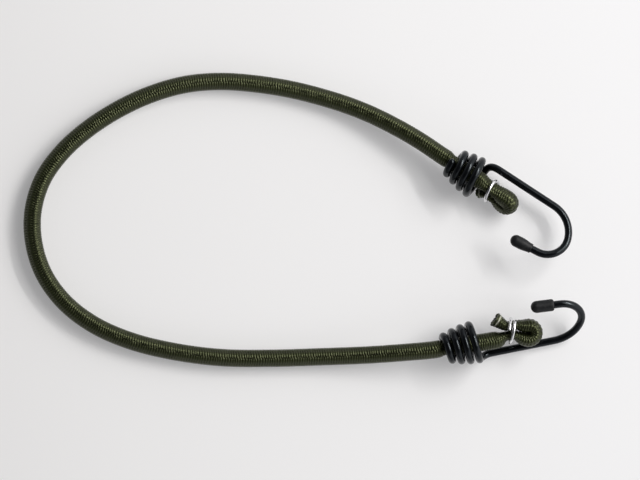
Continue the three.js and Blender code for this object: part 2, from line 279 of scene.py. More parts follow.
def latexCore(look=latexCoreLook):
    # Dull brown rubber with a dusty bloom
    material, nodes, links, shader = newMaterial("latex_core", **{
        "Roughness": look["roughness"], "Specular IOR Level": look["specular"],
    })
    dust = addNoise(nodes, links, "Object", look["dustScale"], look["dustDetail"])
    links.new(addRamp(nodes, links, dust, look["dust"]), shader.inputs["Base Color"])
    addBump(nodes, links, shader, dust, look)
    return material


blackVinylLook = {
    "specular": 0.3, "shine": (0.84, 0.94, 1.0, 1), "peelScale": 420.0, "peelDetail": 2.0,
    "film": [(0.3, (0.002, 0.0023, 0.003)), (0.75, (0.0042, 0.0047, 0.0057))],
    "roughness": [(0.3, grey(0.05)), (0.75, grey(0.11))], "bump": 0.03, "bumpDepth": 0.0002,
}


def blackVinyl(look=blackVinylLook):
    # Dipped coating: glossy, with a faint orange peel and a thin film of handling dust
    material, nodes, links, shader = newMaterial("black_vinyl", **{
        "Specular IOR Level": look["specular"], "Specular Tint": look["shine"],
    })
    peel = addNoise(nodes, links, "Object", look["peelScale"], look["peelDetail"])
    links.new(addRamp(nodes, links, peel, look["film"]), shader.inputs["Base Color"])
    links.new(addRamp(nodes, links, peel, look["roughness"]), shader.inputs["Roughness"])
    addBump(nodes, links, shader, peel, look)
    return material


satinVinylLook = {
    "specular": 0.24, "scuffScale": 700.0, "scuffDetail": 5.0,
    "scuffs": [(0.35, (0.006, 0.0065, 0.0075)), (0.8, (0.016, 0.0165, 0.0175))],
    "roughness": [(0.3, grey(0.42)), (0.75, grey(0.58))], "bump": 0.08, "bumpDepth": 0.0001,
}


def satinVinyl(look=satinVinylLook):
    # Slip-on cap: softer and duller than the coating, finely scuffed
    material, nodes, links, shader = newMaterial("satin_vinyl", **{"Specular IOR Level": look["specular"]})
    scuff = addNoise(nodes, links, "Object", look["scuffScale"], look["scuffDetail"])
    links.new(addRamp(nodes, links, scuff, look["scuffs"]), shader.inputs["Base Color"])
    links.new(addRamp(nodes, links, scuff, look["roughness"]), shader.inputs["Roughness"])
    addBump(nodes, links, shader, scuff, look)
    return material


steelLook = {"lines": (6, 60, 1), "lineDetail": 3.0, "bump": 0.08, "bumpDepth": 0.00005}
drawnWireLook = {
    **steelLook, "colours": [(0.3, (0.42, 0.43, 0.44)), (0.7, (0.6, 0.61, 0.62))],
    "roughness": [(0.3, grey(0.32)), (0.7, grey(0.44))],
}
brightWireLook = {
    **steelLook, "colours": [(0.3, (0.66, 0.66, 0.67)), (0.7, (0.86, 0.86, 0.87))],
    "roughness": [(0.3, grey(0.14)), (0.7, grey(0.26))],
}


def drawnSteel(name, look):
    # Wire drawn through a die: fine lines along its length
    material, nodes, links, shader = newMaterial(name, Metallic=1.0)
    lines = addNoise(nodes, links, "UV", detail=look["lineDetail"], stretch=look["lines"])
    links.new(addRamp(nodes, links, lines, look["colours"]), shader.inputs["Base Color"])
    links.new(addRamp(nodes, links, lines, look["roughness"]), shader.inputs["Roughness"])
    addBump(nodes, links, shader, lines, look)
    return material


finishes = {
    "braided_sheath": oliveBraid(),
    "rubber_core": latexCore(),
    "hook_coating": blackVinyl(),
    "tip_cap": satinVinyl(),
    "hook_wire": drawnSteel("drawn_wire", drawnWireLook),
    "clip": drawnSteel("bright_wire", brightWireLook),
}


def dress(piece, nodes, body=None):  # what a finished piece is, stands for and moves with
    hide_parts(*nodes)
    if body:
        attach(piece, body)


print("materials made:", ", ".join(finishes))

# Camera, straight above the middle of the photograph, far enough off that heights don't spread
photoCamera = {"x": 0.0066, "y": -0.0093, "height": 4.0, "viewWidth": 0.2963, "sensor": 36.0}


def addCamera(form=photoCamera):
    data = bpy.data.cameras.new("photo_camera")
    data.sensor_width = form["sensor"]
    data.lens = form["sensor"] * form["height"] / form["viewWidth"]
    camera = bpy.data.objects.new("photo_camera", data)
    camera.location = (form["x"], form["y"], form["height"])
    scene.collection.objects.link(camera)
    scene.camera = camera


addCamera()
print("camera set")

# The two ends: how each hook and each folded end lies; the coil's start comes from the frame
endForms = {
    "a": {
        "hookYaw": -33.2, "cordYaw": -33.2, "droop": -1.5, "shank": 344, "fold": 235,
        "clipPastCoil": 0.0071, "clipMiddle": 0.00225, "foldMiddle": 0.0032, "tail": 0.0033,
        "press": 0.6, "eye": -0.0005, "touch": -0.0008,  # eye and touch are gaps, or laps where below 0
    },
    "b": {
        "hookYaw": 11.2, "cordYaw": 8.7, "droop": 1.5, "shank": 225, "fold": 8,
        "clipPastCoil": 0.016, "clipMiddle": 0.0034, "foldMiddle": 0.0011, "tail": 0.0062,
        "press": 0.2, "eye": 0.0, "touch": 0.0,
    },
}


def coilStart(name):
    return np.array(joints[f"swivel_{name}"]["pos_m"])


def placed(points, name, yaw, roll):  # local points on an end's coil axis, put into the part's frame
    return points @ turned(yaw, endForms[name]["droop"], roll).T + coilStart(name)


def onFold(points, name):
    return placed(points, name, endForms[name]["cordYaw"], endForms[name]["fold"])


def onHook(points, name):
    return placed(points, name, endForms[name]["hookYaw"], endForms[name]["shank"] - 180)


# Braid
cordForm = {
    "radius": 0.004, "wall": 0.0008, "mouth": 0.00285, "straight": 0.006, "sides": 64, "ringsPerFloat": 6,
    "boreEvery": 10, "frayWaves": [(5, 0.4), (9, 2.0), (16, 1.1)],
}
braidForm = {
    "columns": 8, "pitch": 0.00115, "slant": 0.0001, "relief": 0.00044, "proud": 0.00018, "reach": 1.12,
    "leastWidth": 0.3, "widthGain": 0.68, "crownPower": 0.8, "waver": 0.1, "waverRun": 0.0083,
    "waverTurn": 2.1, "uvStart": -0.09, "uvRun": 0.64,
}


def braidRise(along, angle, form=braidForm):
    # Floats lie side by side in columns round the cord, half a pitch apart from column to column. A float's
    # height is a half ellipse across it, narrower and lower where its ends dive under the next columns, and
    # its slant turns over from column to column. The result is 1 on a crown and 0 in a valley.
    column = angle / (2 * np.pi) * form["columns"]
    highest = np.zeros(np.broadcast(along, angle).shape)
    for shift in (-1, 0, 1):
        index = np.floor(column) + shift
        odd = np.mod(index, 2)
        across = 2 * (column - index) - 1
        lean = (1 - 2 * odd) * form["slant"] * across
        phase = 2 * np.pi * along / form["waverRun"] + form["waverTurn"] * np.mod(index, form["columns"])
        count = (along + lean) / form["pitch"] + odd / 2 + form["waver"] * np.sin(phase)
        offset = 2 * (count - np.floor(count)) - 1
        fullness = np.sqrt(np.clip(1 - (across / form["reach"]) ** 2, 0, 1))
        width = form["leastWidth"] + form["widthGain"] * fullness
        height = fullness ** form["crownPower"] * np.sqrt(np.clip(1 - (offset / width) ** 2, 0, 1))
        highest = np.maximum(highest, height)
    return highest


def braidedTube(
    centres, across, out, half, wide, along, patternAngle, press=0, cut=None, fray=None, form=cordForm,
):
    # Oval section carried along the cord's line, centre + half cos t across + wide sin t out, with the
    # braid's crowns proud of it and its valleys drawn in, then a plain bore inside it. Both ends are closed
    # by the wall's own rim. Press flattens the side that faces across, cos t to the power 1 - press. Fray,
    # if given, pushes the rows along the line by a mean of sines of t.
    turn = np.linspace(0, 2 * np.pi, form["sides"], endpoint=False)
    rise = braidRise(along[:, None], patternAngle(turn)[None])
    cutMark = np.zeros_like(rise) if cut is None else cut[:, None] + 0 * rise
    dip = braidForm["relief"] * (1 - rise) - braidForm["proud"]
    facing = np.cos(turn) + np.zeros((len(along), 1))
    facing = np.where(facing > 0, np.abs(facing) ** (1 - np.reshape(press, (-1, 1))), facing)
    outside = (
        centres[:, None]
        + ((half[:, None] - dip) * facing)[..., None] * across[:, None]
        + ((wide[:, None] - dip) * np.sin(turn))[..., None] * out[:, None]
    )
    rows = np.unique(np.append(np.arange(0, len(along), form["boreEvery"]), len(along) - 1))[::-1]
    inside = (
        centres[rows, None]
        + ((half[rows, None] - form["wall"]) * facing[rows])[..., None] * across[rows, None]
        + ((wide[rows, None] - form["wall"]) * np.sin(turn))[..., None] * out[rows, None]
    )
    if fray is not None:
        jagged = np.mean([np.sin(waves * turn + shift) for waves, shift in form["frayWaves"]], axis=0)
        push = (fray[:, None] * jagged)[..., None] * np.cross(across, out)[:, None]
        outside, inside = outside + push, inside + push[rows]
    uvAlong = (along - braidForm["uvStart"]) / braidForm["uvRun"]
    return gridShell(
        np.concatenate([outside, inside]), looped=True, along=np.concatenate([uvAlong, uvAlong[rows]]),
        flatRows=(len(outside) - 1, len(outside) + len(inside) - 1),
        rise=np.concatenate([rise, np.zeros_like(rise[rows])]),
        cut=np.concatenate([cutMark, cutMark[rows]]),
    )


# Free cord, from mouth a round the bend to mouth b
freeRoute = {
    # x, y, and how much of the climb to that end's mouth is done
    "fromA": [
        (0.0532, 0.0362, 0.93), (0.0432, 0.0421, 0.7), (0.0292, 0.0491, 0.36), (0.0152, 0.0544, 0.12),
        (-0.0058, 0.0601, 0), (-0.0258, 0.0632, 0), (-0.0408, 0.064, 0), (-0.0558, 0.0626, 0),
        (-0.0708, 0.0584, 0), (-0.0858, 0.0516, 0), (-0.1008, 0.042, 0), (-0.1128, 0.0312, 0),
        (-0.1218, 0.0184, 0), (-0.1262, 0.0034, 0),
    ],
    "toB": [
        (-0.1256, -0.0116, 0), (-0.1208, -0.0256, 0), (-0.1113, -0.0384, 0), (-0.0978, -0.0486, 0),
        (-0.0808, -0.056, 0), (-0.0608, -0.0609, 0), (-0.0388, -0.0637, 0), (-0.0158, -0.064, 0),
        (0.0072, -0.0633, 0.1), (0.0292, -0.0624, 0.45), (0.0472, -0.0611, 0.87),
    ],
    "stretchFrom": -0.095, "stretchTo": {"a": 0.060, "b": 0.058},
}


def throughPoints(points, perSpan=160):
    # Centripetal Catmull-Rom: a cubic for each span, whose end slopes weigh each chord by its root
    p = np.vstack([2 * points[0] - points[1], points, 2 * points[-1] - points[-2]])
    p0, p1, p2, p3 = p[:-3], p[1:-2], p[2:-1], p[3:]
    d0, d1, d2 = (
        np.sqrt(np.linalg.norm(q - r, axis=1))[:, None] for q, r in ((p1, p0), (p2, p1), (p3, p2))
    )
    m1 = d1 * ((p1 - p0) / d0 - (p2 - p0) / (d0 + d1) + (p2 - p1) / d1)
    m2 = d1 * ((p2 - p1) / d1 - (p3 - p1) / (d1 + d2) + (p3 - p2) / d2)
    t = np.linspace(0, 1, perSpan, endpoint=False)[:, None, None]
    curve = p1 + m1 * t + (3 * (p2 - p1) - 2 * m1 - m2) * t ** 2 + (2 * (p1 - p2) + m1 + m2) * t ** 3
    return np.vstack([curve.swapaxes(0, 1).reshape(-1, 3), points[-1]])


def freeCordLine():
    # The route's points joined by the curve above, straight at both mouths, read at even steps
    run = [cordForm["straight"], cordForm["mouth"]]
    straightA, straightB = (onFold(np.array([[-x, 0, 0] for x in run]), name) for name in "ab")

    def lifted(points, mouth):  # climbs from lying on the table to the coil's mouth
        x, y, climb = np.array(points).T
        return np.stack([x, y, cordForm["radius"] + climb * (mouth[2] - cordForm["radius"])], -1)

    line = throughPoints(np.vstack([
        straightA[::-1], lifted(freeRoute["fromA"], straightA[1]),
        lifted(freeRoute["toB"], straightB[1]), straightB,
    ]))
    line[:, 2] = np.maximum(line[:, 2], cordForm["radius"])
    along = lengthsAlong(line)
    count = int(round(along[-1] / braidForm["pitch"] * cordForm["ringsPerFloat"]))
    where = np.linspace(0, along[-1], count + 1)
    return readAt(where, along, line), where


cordLine, cordAlong = freeCordLine()
cordAhead = unit(np.gradient(cordLine, axis=0))
cordUp = unit(np.array([0, 0, 1]) - cordAhead * cordAhead[:, 2:])
cordSide = np.cross(cordAhead, cordUp)
bendMiddle = int(cordLine[:, 0].argmin())
freeLength = cordAlong[-1]
halves = {"a": slice(0, bendMiddle + 1), "b": slice(bendMiddle, len(cordAlong))}


def stretchWith(piece):
    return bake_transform(piece)


strandForm = {"radius": 0.000933, "pitch": 0.002067, "ring": 6, "sides": 12, "everyRing": 12}


def rubberStrands(rings, form=strandForm):
    # One round strand in the middle and a ring of them about it, each carried along the cord's line
    rows = np.arange(rings.start, rings.stop)
    rows = np.unique(np.append(rows[::form["everyRing"]], rows[-1]))
    turn = np.linspace(0, 2 * np.pi, form["sides"], endpoint=False)
    shells = []
    for strand in range(form["ring"] + 1):
        place = 2 * np.pi * strand / form["ring"]
        offset = form["pitch"] * min(strand, 1)
        up = offset * np.cos(place) + form["radius"] * np.cos(turn)
        side = offset * np.sin(place) + form["radius"] * np.sin(turn)
        shells.append(gridShell(
            cordLine[rows, None]
            + up[:, None] * cordUp[rows, None]
            + side[:, None] * cordSide[rows, None]
        ))
    return shells


for name, rings in halves.items():
    thick = np.full(rings.stop - rings.start, cordForm["radius"])
    shell = braidedTube(
        cordLine[rings], cordUp[rings], cordSide[rings], thick, thick, cordAlong[rings],
        patternAngle=lambda turn: turn,
    )
    cordHalf = stretchWith(makePiece(f"braid_cord_{name}", [shell], finishes["braided_sheath"]))
    dress(cordHalf, ["cord_sheath"])
    strands = makePiece(f"latex_strands_{name}", rubberStrands(rings), finishes["rubber_core"])
    strandNodes = [f"core_strand_{k + 1}" for k in range(strandForm["ring"] + 1)]
    dress(stretchWith(strands), strandNodes)
print(f"free cord: {1000 * freeLength:.0f} mm, split at {1000 * cordAlong[bendMiddle]:.0f} mm")

# Hooks
hookForm = {
    "coating": 0.00175, "wire": 0.00115, "clearance": 0.0003, "turns": 3.75, "turnGap": 0.00065,
    "narrowBore": 0.0072, "wideBore": 0.0134, "stepsPerTurn": 20, "exitAngle": 36, "exitRun": 0.0056,
    "exitPull": 0.0036, "standOff": 0.0008, "shank": 0.0352, "shoulderRadius": 0.0145, "shoulderAngle": 70,
    "throatRadius": 0.010, "throatAngle": 104, "arm": 0.0112, "spacing": 0.00045, "sides": 24,
    "coilSamples": 480, "arcSamples": 60, "domeFrom": 6, "domeRings": 9, "boreEvery": 4,
    "wireInset": 0.00066, "wireRings": 320, "wireSides": 12,
}
coilPitch = 2 * hookForm["coating"] + hookForm["turnGap"]
coilLength = coilPitch * hookForm["turns"]
coilNarrow = hookForm["narrowBore"] / 2 + hookForm["coating"]
coilWide = hookForm["wideBore"] / 2 + hookForm["coating"]
shankOffset = coilWide + hookForm["standOff"]


def coilRadius(along):  # a quarter sine from the narrow end to the wide one
    return coilNarrow + (coilWide - coilNarrow) * np.sin(np.pi / 2 * np.clip(along / coilLength, 0, 1))


def hookLine(form=hookForm):
    # Conical helix about X, a cubic curve out of it, a straight shank on the -Y side, two arcs of the J in
    # the XY plane and a straight arm
    def helix(turn):
        turn = np.atleast_1d(turn)
        angle = np.pi + 2 * np.pi * (turn - form["turns"])
        reach = coilRadius(turn * coilPitch)
        return np.stack([turn * coilPitch, reach * np.cos(angle), reach * np.sin(angle)], -1)

    def arc(centre, radius, start, sweep):
        heading = np.radians(np.linspace(start, start + sweep, form["arcSamples"]))[1:]
        outward = np.stack([np.sin(heading), -np.cos(heading), 0 * heading], -1)
        return centre + radius * outward, outward

    def radial(points):
        return unit(points * [0, 1, 1])

    coilEnd = form["turns"] - form["exitAngle"] / 360
    coil = helix(np.linspace(0, coilEnd, form["coilSamples"]))
    leave = coil[-1]
    leaveWay = unit(leave - helix(coilEnd - 1 / form["stepsPerTurn"])[0])
    settle = np.array([coilLength + form["exitRun"], -shankOffset, 0])
    pull = form["exitPull"]
    t = np.linspace(0, 1, form["arcSamples"])[1:, None]
    leaving = (
        (1 - t) ** 3 * leave + 3 * (1 - t) ** 2 * t * (leave + pull * leaveWay)
        + 3 * (1 - t) * t ** 2 * (settle - [pull, 0, 0]) + t ** 3 * settle
    )
    shankEnd = np.array([[coilLength + form["shank"], -shankOffset, 0]])
    shoulderCentre = shankEnd[0] + [0, form["shoulderRadius"], 0]
    shoulder, shoulderOut = arc(shoulderCentre, form["shoulderRadius"], 0, form["shoulderAngle"])
    throatCentre = shoulderCentre + (form["shoulderRadius"] - form["throatRadius"]) * shoulderOut[-1]
    throat, throatOut = arc(throatCentre, form["throatRadius"], form["shoulderAngle"], form["throatAngle"])
    heading = np.radians(form["shoulderAngle"] + form["throatAngle"])
    armWay = np.array([np.cos(heading), np.sin(heading), 0])
    tip = throat[-1:] + form["arm"] * armWay
    rough = np.vstack([coil, leaving, shankEnd, shoulder, throat, tip])
    outward = np.vstack([
        radial(coil), radial(leaving), [[0, -1, 0]], shoulderOut, throatOut, throatOut[-1:],
    ])
    along = lengthsAlong(rough)
    where = np.linspace(0, along[-1], int(along[-1] / form["spacing"]))
    return readAt(where, along, rough), readAt(where, along, outward), tip[0], armWay


hookPath, hookOutward, hookTip, armWay = hookLine()
hookRun = lengthsAlong(hookPath)


def vinylHook(form=hookForm):
    # Round tube with a domed start; its bore, also domed, holds the wire and opens at the tip
    def domed(start, radius):
        rise = np.radians(np.linspace(form["domeFrom"], 90, form["domeRings"]))
        return start + radius * (1 - np.cos(rise)), radius * np.sin(rise)

    bore = form["wire"] + form["clearance"]
    domeAt, domeRadius = domed(0, form["coating"])
    boreAt, boreRadius = domed(form["clearance"], bore)
    body = hookRun[hookRun > domeAt[-1]]
    inner = body[::-form["boreEvery"]]
    where = np.concatenate([domeAt, body, inner, boreAt[::-1]])
    radii = np.concatenate([
        domeRadius, np.full(len(body), form["coating"]), np.full(len(inner), bore), boreRadius[::-1],
    ])
    return gridShell(
        sweptRings(hookPath, hookOutward, where, radii, form["sides"]), along=where / hookRun[-1]
    )


def bareWire(form=hookForm):
    # Round wire with cut ends, just clear of the coating's bore
    where = np.linspace(form["wireInset"], hookRun[-1], form["wireRings"])
    radii = np.full(len(where), form["wire"])
    return gridShell(sweptRings(hookPath, hookOutward, where, radii, form["wireSides"]))


capForm = {
    "radius": 0.0028, "length": 0.0106, "depth": 0.008, "lip": 0.00008, "sides": 40,
    "mouthRadius": {"a": 0.00222, "b": 0.0025}, "taper": {"a": 0.0052, "b": 0.0006},
    "floorShares": (0.2, 0.8, 0.97), "wallRings": 8, "taperRings": 24, "domeTo": 88, "domeRings": 14,
}


def slipOnCap(name, form=capForm):
    # Profile of radius and height turned about the arm: a bore, a rounded lip, a wall that swells from the
    # mouth's radius to the cap's own with 3t^2 - 2t^3, and a dome
    bore, floor = hookForm["coating"] + hookForm["clearance"], hookForm["clearance"]
    top, mouth, lip = form["length"] - form["depth"], -form["depth"], form["lip"]
    mouthRadius = form["mouthRadius"][name]
    inside = np.linspace(0, mouth + lip, form["wallRings"])
    swell = np.linspace(0, 1, form["taperRings"])
    wall = np.linspace(mouth + lip + form["taper"][name], top - form["radius"], form["wallRings"])[1:]
    rise = np.radians(np.linspace(0, form["domeTo"], form["domeRings"]))[1:]
    profile = np.vstack([
        [(share * bore, floor) for share in form["floorShares"]],
        np.stack([0 * inside + bore, inside], -1),
        [(bore + lip / 2, mouth), (mouthRadius - lip / 2, mouth)],
        np.stack([
            mouthRadius + (form["radius"] - mouthRadius) * smooth(swell),
            mouth + lip + form["taper"][name] * swell,
        ], -1),
        np.stack([0 * wall + form["radius"], wall], -1),
        np.stack([form["radius"] * np.cos(rise), top - form["radius"] * (1 - np.sin(rise))], -1),
    ])
    turn = np.linspace(0, 2 * np.pi, form["sides"], endpoint=False)[None, :, None]
    outOfPlane = np.array([0, 0, 1.0])
    ring = outOfPlane * np.cos(turn) + np.cross(armWay, outOfPlane) * np.sin(turn)
    return gridShell(hookTip + profile[:, None, 1:] * armWay + profile[:, None, :1] * ring)


def placeShell(shell, name, onto):
    return {**shell, "points": onto(shell["points"], name)}


for name in endForms:
    for title, shell, slotName in (
        ("vinyl_hook", vinylHook(), "hook_coating"),
        ("bare_wire", bareWire(), "hook_wire"),
        ("slip_on_cap", slipOnCap(name), "tip_cap"),
    ):
        piece = makePiece(f"{title}_{name}", [placeShell(shell, name, onHook)], finishes[slotName])
        dress(piece, [f"{slotName}_{name}"], f"hook_{name}")
print(f"hooks wound: {1000 * hookRun[-1]:.0f} mm of wire each")

# Folded ends and their clips
foldForm = {
    "squash": 0.00075, "spread": 0.0001, "length": 0.0146, "pinchSquash": 0.0019,
    "pinchNarrowing": 0.0005, "pinchEase": 0.004, "tailSquash": 0.0006, "tailNarrowing": 0.0004,
    "tailFlare": 42, "soften": 0.0011, "pressEase": 0.002, "fray": 0.0004, "frayRun": 0.0012,
    "sealAt": 0.0016, "sealWidth": 0.00026, "coilFacets": 12,
    "throughSamples": 260, "easeSamples": 90, "turnSamples": 120, "tailSamples": 60,
}
clipForm = {
    "wire": 0.0008, "turns": 1.11, "turnGap": 0.0006, "startAngle": 40, "lean": 0.0015, "sideGap": 0.0009,
    "sides": 20, "steps": 220, "chamfer": 0.00018, "chamferSteps": 3,
}
foldHalf = cordForm["radius"] - foldForm["squash"]
foldWide = cordForm["radius"] + foldForm["spread"]
pinchHalf = cordForm["radius"] - foldForm["pinchSquash"]
pinchWide = cordForm["radius"] - foldForm["pinchNarrowing"]
tailHalf = cordForm["radius"] - foldForm["tailSquash"]
tailWide = cordForm["radius"] - foldForm["tailNarrowing"]
clipPitch = 2 * clipForm["wire"] + clipForm["turnGap"]
clipReach = (clipPitch * clipForm["turns"] + clipForm["lean"] + 2 * clipForm["wire"]) / 2
pinchSpacing = 2 * pinchHalf + hookForm["clearance"]


def foldLine(end):
    # Rows of x, y, half size across the fold and half size out of it: straight through the coil, pinched
    # in the clip, round a half circle, pinched again on the way back, then a tail that leans away
    tilt = abs(np.sin(np.radians(end["hookYaw"] - end["cordYaw"])))
    cone = np.hypot(1, np.pi / 2 * (coilWide - coilNarrow) / coilLength)
    clipAt = coilLength + end["clipPastCoil"]
    outX, outY = clipAt - clipForm["lean"] / 2, end["clipMiddle"] - pinchSpacing / 2
    backX, backY = clipAt + clipForm["lean"] / 2, end["clipMiddle"] + pinchSpacing / 2
    foldRadius = foldHalf + end["eye"] / 2
    foldX = clipAt + foldForm["length"] - foldRadius - foldHalf
    neckEnd = max(coilLength, outX - clipReach - foldForm["pinchEase"])

    def room(x):  # what the coil, also a faceted one, leaves for the cord
        start = np.sqrt(np.clip(hookForm["coating"] ** 2 - x ** 2, 0, None))
        wire = np.where(x < 0, start, hookForm["coating"] * cone)
        space = coilRadius(x) - wire - hookForm["clearance"] - tilt * np.abs(x)
        return space * np.cos(np.pi / foldForm["coilFacets"])

    def ease(start, stop):  # even along x; the rest goes with t(2 - t) as the cord fills out, else with t^2
        t = np.linspace(0, 1, foldForm["easeSamples"])[1:]
        start, stop = np.array(start), np.array(stop)
        fill = t * (2 - t) if stop[2] > start[2] else t ** 2
        return start + (stop - start) * np.stack([t, fill, fill, fill], -1)

    def meet(outRows, backRows):  # fills the slit between the two strands and keeps their outer edges
        reach = [half * np.hypot(1, np.gradient(y, x)) for x, y, half, _ in (outRows.T, backRows.T)]
        edges = outRows[:, 1] + reach[0], backRows[:, 1] - reach[1]
        slitOut = np.interp(outRows[:, 0], backRows[::-1, 0], edges[1][::-1]) - edges[0] - end["touch"]
        slitBack = edges[1] - np.interp(backRows[:, 0], outRows[:, 0], edges[0]) - end["touch"]
        strands = (outRows, slitOut, 1, reach[0]), (backRows, slitBack, -1, reach[1])
        for rows, slit, way, run in strands:  # each fills half the slit: a quarter wider, a quarter over
            rows[:, 2] *= 1 + slit / (4 * run)
            rows[:, 1] += way * slit / 4

    x = np.linspace(-cordForm["mouth"], neckEnd, foldForm["throughSamples"])
    radius = np.minimum(cordForm["radius"], room(x))
    through = np.stack([x, 0 * x, radius, radius], -1)
    pinch, full = (pinchHalf, pinchWide), (foldHalf, foldWide)
    turn = np.linspace(0, np.pi, foldForm["turnSamples"])[1:]
    around = np.stack([
        foldX + foldRadius * np.sin(turn), end["foldMiddle"] - foldRadius * np.cos(turn),
        0 * turn + foldHalf, 0 * turn + foldWide,
    ], -1)
    flare = np.radians(foldForm["tailFlare"])
    t = np.linspace(0, 1, foldForm["tailSamples"])[1:]
    tail = np.stack([
        backX - clipReach - end["tail"] * t * np.cos(flare), backY + end["tail"] * t * np.sin(flare),
        pinchHalf + (tailHalf - pinchHalf) * t, pinchWide + (tailWide - pinchWide) * t,
    ], -1)
    outward = ease((outX + clipReach, outY, *pinch), (foldX, end["foldMiddle"] - foldRadius, *full))
    backward = ease(around[-1], (backX + clipReach, backY, *pinch))
    meet(outward, backward)
    rows = np.vstack([
        through, ease(through[-1], (outX - clipReach, outY, *pinch)), [(outX + clipReach, outY, *pinch)],
        outward, around, backward, [(backX - clipReach, backY, *pinch)], tail,
    ])

    # Read at even steps, then softened by a running mean so that the cord bends rather than kinks
    run = lengthsAlong(rows[:, :2])
    step = braidForm["pitch"] / cordForm["ringsPerFloat"]
    where = np.linspace(0, run[-1], int(round(run[-1] / step)) + 1)
    rows = readAt(where, run, rows)
    reach = int(round(foldForm["soften"] / step))
    padded = np.vstack([2 * rows[:1] - rows[reach:0:-1], rows, 2 * rows[-1:] - rows[-2:-reach - 2:-1]])
    kernel = np.full(2 * reach + 1, 1 / (2 * reach + 1))
    return np.stack([np.convolve(column, kernel, "valid") for column in padded.T], -1), clipAt


def clipRing(end, clipAt, form=clipForm):
    # A little over one turn of an oval: its angle runs evenly, and it leans along the cord with its cosine
    reachY = pinchSpacing / 2 + pinchHalf + hookForm["clearance"] + form["wire"]
    reachZ = pinchWide + form["sideGap"] + form["wire"]
    turn = np.linspace(0, form["turns"], form["steps"])
    angle = np.radians(form["startAngle"]) + 2 * np.pi * turn
    outward = np.stack([0 * angle, np.cos(angle), np.sin(angle)], -1)
    line = np.stack([
        clipAt + clipPitch * (form["turns"] / 2 - turn) + form["lean"] * np.cos(angle),
        end["clipMiddle"] + reachY * np.cos(angle), reachZ * np.sin(angle),
    ], -1)
    run = lengthsAlong(line)
    chamfer, skip = form["chamfer"], form["chamferSteps"]
    where = np.concatenate([[0, chamfer], run[skip:-skip], [run[-1] - chamfer, run[-1]]])
    radii = np.full(len(where), form["wire"])
    radii[[0, -1]] -= chamfer
    return gridShell(sweptRings(line, outward, where, radii, form["sides"]), along=where / run[-1])


coreForm = {
    "sides": 48, "everyRing": 3, "fit": 0.0002, "threadSize": 0.00052, "threadProud": 0.00028,
    "rowStep": 1.73, "faceFrom": 0.97, "faceTo": 0.04, "faceRings": 22,
}


def threadEnds(rings, ahead, form=coreForm):
    # Cut face of the core: rings shrinking to the middle, lifted in round domes on a staggered grid of
    # threads
    size = form["threadSize"]
    rowGap = size * form["rowStep"]
    middle = rings[-1].mean(0)
    spokes = rings[-1] - middle
    shares = np.linspace(form["faceFrom"], form["faceTo"], form["faceRings"])[:, None, None]
    face = middle + shares * spokes[None]
    firstSpoke = unit(spokes[0])
    flat = (face - middle) @ np.stack([firstSpoke, unit(np.cross(ahead, firstSpoke))], -1)
    row = np.round(flat[..., 1] / rowGap)
    best = np.zeros(flat.shape[:2])
    for shift in (-1, 0, 1):
        line = row + shift
        x = flat[..., 0] / (2 * size) - np.mod(line, 2) / 2
        dx = (x - np.round(x)) * 2 * size
        dy = flat[..., 1] - line * rowGap
        best = np.maximum(best, np.sqrt(np.clip(1 - (dx ** 2 + dy ** 2) / size ** 2, 0, 1)))
    return np.concatenate([rings, face + (form["threadProud"] * best)[..., None] * ahead])


for name, end in endForms.items():
    rows, clipAt = foldLine(end)
    centres = np.stack([rows[:, 0], rows[:, 1], 0 * rows[:, 0]], -1)
    ahead = unit(np.gradient(centres, axis=0))
    across = np.stack([-ahead[:, 1], ahead[:, 0], 0 * ahead[:, 0]], -1)
    out = np.broadcast_to([0.0, 0.0, 1.0], across.shape)
    half, wide = rows[:, 2], rows[:, 3]
    run = lengthsAlong(centres)
    cut = np.exp(-((run[-1] - run - foldForm["sealAt"]) / foldForm["sealWidth"]) ** 2)
    fray = foldForm["fray"] * smooth((run - run[-1] + foldForm["frayRun"]) / foldForm["frayRun"])
    press = end["press"] * smooth((rows[:, 0] - clipAt - clipReach) / foldForm["pressEase"])
    sign = -1 if name == "a" else 1  # the free cord's pattern runs on into both ends
    along = sign * run + (0 if name == "a" else freeLength)
    roll = np.radians(end["fold"] - 90)
    shell = braidedTube(
        centres, across, out, half, wide, along,
        lambda turn: np.mod(sign * (turn + roll), 2 * np.pi), press, cut, fray,
    )
    braid = makePiece(f"braid_fold_{name}", [placeShell(shell, name, onFold)], finishes["braided_sheath"])
    dress(braid, [f"sheath_end_{name}"], f"end_{name}")

    inset = cordForm["wall"] + coreForm["fit"]
    keep = slice(1, len(run) - 2, coreForm["everyRing"])
    turn = np.linspace(0, 2 * np.pi, coreForm["sides"], endpoint=False)
    core = (
        centres[keep, None]
        + ((half[keep, None] - inset) * np.cos(turn))[..., None] * across[keep, None]
        + ((wide[keep, None] - inset) * np.sin(turn))[..., None] * out[keep, None]
    )
    shell = gridShell(threadEnds(core, ahead[-1]))
    latex = makePiece(f"latex_fold_{name}", [placeShell(shell, name, onFold)], finishes["rubber_core"])
    dress(latex, [f"core_end_{name}"], f"end_{name}")

    shell = clipRing(end, clipAt)
    clip = makePiece(f"wire_clip_{name}", [placeShell(shell, name, onFold)], finishes["clip"])
    dress(clip, [f"clip_{name}"], f"end_{name}")
    print(f"folded end {name}: {1000 * run[-1]:.0f} mm of cord")

